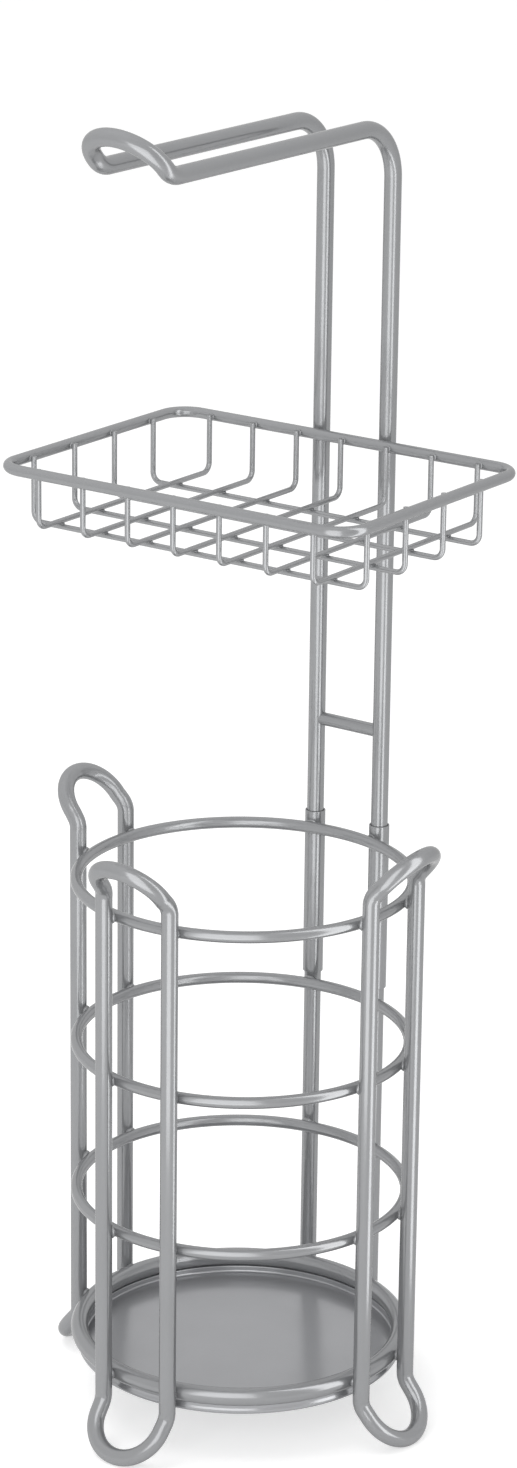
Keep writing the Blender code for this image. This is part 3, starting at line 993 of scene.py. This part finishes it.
class STAND_OT_shelf_welds(bpy.types.Operator):
    """Make the weld beads of the shelf"""
    bl_idname = "stand.shelf_welds"
    bl_label = "Shelf welds"

    def execute(self, context):
        sizes = context.scene.stand_sizes
        shelf = context.scene.stand_shelf
        bead = context.scene.stand_welds
        gap = sizes.weld_gap
        inner = shelf.rim_rod / 2 + gap / 2
        small = bead_size(shelf.wire * bead.crossing_bead, gap, bead.crossing_bite)
        tips = bead_size(shelf.wire * bead.tip_bead, gap, bead.tip_bite)
        large = bead_size(bead.post_bead, gap, bead.post_bite)
        crosses = wire_places(shelf.cross_count, shelf.cross_pitch)
        longs = wire_places(shelf.long_count, shelf.long_pitch, shelf.long_shift)
        welds = []
        floor = -shelf.drop + shelf.wire / 2 + gap / 2
        for x in crosses:
            for y in longs:
                welds.append((SHELF_MIDDLE + Vector((x, y, floor)), Vector((0, 0, 1)), small))
            for side in (-1, 1):
                place = Vector((x, side * (shelf.depth / 2 - inner), 0))
                welds.append((SHELF_MIDDLE + place, Vector((0, side, 0)), tips))
        for y in longs:
            for side in (-1, 1):
                place = Vector((side * (shelf.width / 2 - inner), y, 0))
                welds.append((SHELF_MIDDLE + place, Vector((side, 0, 0)), tips))
        for side in (-1, 1):
            place = Vector((side * sizes.upright_spacing / 2, shelf.depth / 2 + inner, 0))
            welds.append((SHELF_MIDDLE + place, Vector((0, 1, 0)), large))
        piece = beads("shelf_welds", welds, pooled_paint("shelf_weld_paint"))
        settle(piece, "upper", "wire_paint")
        return {'FINISHED'}


class STAND_OT_stage(bpy.types.Operator):
    """Make the floor, the lights and the camera"""
    bl_idname = "stand.stage"
    bl_label = "Stage"

    def execute(self, context):
        looks = context.scene.stand_stage
        make_floor(looks)
        make_lights(looks)
        make_camera(looks)
        context.scene.view_settings.view_transform = 'Standard'
        return {'FINISHED'}


def seen_directly(nodes, links):
    """One for rays from the camera, from a gloss or through glass, and nought for the rest."""
    path = nodes.new('ShaderNodeLightPath')
    first = maths(nodes, 'MAXIMUM')
    second = maths(nodes, 'MAXIMUM')
    links.new(path.outputs["Is Camera Ray"], first.inputs[0])
    links.new(path.outputs["Is Glossy Ray"], first.inputs[1])
    links.new(first.outputs[0], second.inputs[0])
    links.new(path.outputs["Is Transmission Ray"], second.inputs[1])
    return second.outputs[0]


def make_floor(stage):
    """A wide pale floor that keeps the stand's shadow."""
    half = stage.floor_half
    mesh = bpy.data.meshes.new("floor")
    corners = [(-half, -half, 0), (half, -half, 0), (half, half, 0), (-half, half, 0)]
    mesh.from_pydata(corners, [], [(0, 1, 2, 3)])
    material = bpy.data.materials.new("floor_finish")
    material.use_nodes = True
    nodes, links = material.node_tree.nodes, material.node_tree.links
    surface = nodes["Principled BSDF"]
    surface.inputs["Base Color"].default_value = (*stage.floor, 1)
    surface.inputs["Roughness"].default_value = 0.75
    surface.inputs["Specular IOR Level"].default_value = 0.1
    surface.inputs["Emission Color"].default_value = (1, 1, 1, 1)
    glow = maths(nodes, 'MULTIPLY')
    glow.inputs[1].default_value = stage.floor_glow
    links.new(seen_directly(nodes, links), glow.inputs[0])
    links.new(glow.outputs[0], surface.inputs["Emission Strength"])
    mesh.materials.append(material)
    linked("floor", mesh)


def make_light(name, place, target, width, height, power):
    """A soft rectangular light that looks at a point."""
    lamp = bpy.data.lights.new(name, 'AREA')
    lamp.shape = 'RECTANGLE'
    lamp.size = width
    lamp.size_y = height
    lamp.energy = power
    made = linked(name, lamp)
    made.location = place
    made.rotation_euler = (Vector(target) - Vector(place)).to_track_quat('-Z', 'Y').to_euler()
    made.visible_camera = False
    return made


def make_panel(name, place, width, power):
    """A large soft panel that lights the stand and leaves no mirror image in the paint."""
    panel = make_light(name, place, PANEL_TARGET, width, width, power)
    panel.visible_glossy = False


def make_card(name, place, low, high, width, power):
    """A narrow upright card that the paint mirrors as a streak and that lights nothing else."""
    middle = (low + high) / 2
    card = make_light(name, (*place, middle), (0.0, 0.0, middle), width, high - low, power)
    card.visible_diffuse = False


def make_lights(stage):
    """Soft panels above and in front, cards for the streaks along the rods, and an even sky."""
    for name, place, width, power in PANELS:
        make_panel(name, place, width, power)
    for name, place, low, high, width, power in CARDS:
        make_card(name, place, low, high, width, power)
    world = bpy.data.worlds.new("studio")
    bpy.context.scene.world = world
    world.use_nodes = True
    nodes, links = world.node_tree.nodes, world.node_tree.links
    sky = nodes["Background"]
    sky.inputs["Color"].default_value = (1, 1, 1, 1)
    level = nodes.new('ShaderNodeMapRange')
    level.inputs["To Min"].default_value = stage.sky
    level.inputs["To Max"].default_value = 1.0
    links.new(seen_directly(nodes, links), level.inputs["Value"])
    links.new(level.outputs["Result"], sky.inputs["Strength"])


def make_camera(stage):
    """The camera at the photograph's viewing angle."""
    yaw, pitch, roll = stage.camera_yaw, stage.camera_pitch, stage.camera_roll
    ahead = Vector((-math.sin(yaw) * math.cos(pitch), math.cos(yaw) * math.cos(pitch), -math.sin(pitch)))
    right = Vector((math.cos(yaw), math.sin(yaw), 0.0))
    up = right.cross(ahead)
    camera = bpy.data.cameras.new("camera")
    camera.lens = stage.lens
    camera.sensor_width = 36.0
    camera.clip_end = 50.0
    made = linked("camera", camera)
    across = right * math.cos(roll) + up * math.sin(roll)
    upwards = up * math.cos(roll) - right * math.sin(roll)
    facing = Matrix((across, upwards, -ahead)).transposed().to_4x4()
    facing.translation = stage.camera_place
    made.matrix_world = facing
    bpy.context.scene.camera = made


class STAND_PT_panel(bpy.types.Panel):
    """Sizes, colours and pieces of the paper stand"""
    bl_label = "Paper Stand"
    bl_idname = "STAND_PT_panel"
    bl_space_type = 'VIEW_3D'
    bl_region_type = 'UI'
    bl_category = "Paper Stand"

    def draw(self, context):
        for group, name, heading in GROUPS:
            box = self.layout.box()
            box.label(text=heading)
            for value in group.__annotations__:
                box.prop(getattr(context.scene, name), value)
        for operator in OPERATORS:
            self.layout.operator(operator.bl_idname)


GROUPS = (
    (StandSizes, "stand_sizes", "Stand"),
    (ShelfSizes, "stand_shelf", "Shelf"),
    (WeldSizes, "stand_welds", "Welds"),
    (PaintLooks, "stand_paint", "Paint"),
    (StageLooks, "stand_stage", "Stage"),
)
OPERATORS = (
    STAND_OT_hoops, STAND_OT_loops, STAND_OT_back_frame, STAND_OT_sleeves, STAND_OT_tray,
    STAND_OT_posts, STAND_OT_shelf, STAND_OT_cage_welds, STAND_OT_shelf_welds, STAND_OT_stage,
)


def register():
    for group, name, heading in GROUPS:
        bpy.utils.register_class(group)
        setattr(bpy.types.Scene, name, bpy.props.PointerProperty(type=group))
    for operator in OPERATORS:
        bpy.utils.register_class(operator)
    bpy.utils.register_class(STAND_PT_panel)


def unregister():
    bpy.utils.unregister_class(STAND_PT_panel)
    for operator in reversed(OPERATORS):
        bpy.utils.unregister_class(operator)
    for group, name, heading in reversed(GROUPS):
        delattr(bpy.types.Scene, name)
        bpy.utils.unregister_class(group)


def main():
    register()
    bpy.ops.stand.hoops()
    bpy.ops.stand.loops()
    bpy.ops.stand.back_frame()
    bpy.ops.stand.sleeves()
    bpy.ops.stand.tray()
    bpy.ops.stand.posts()
    bpy.ops.stand.shelf()
    bpy.ops.stand.cage_welds()
    bpy.ops.stand.shelf_welds()
    bpy.ops.stand.stage()


if __name__ == "__main__":
    main()
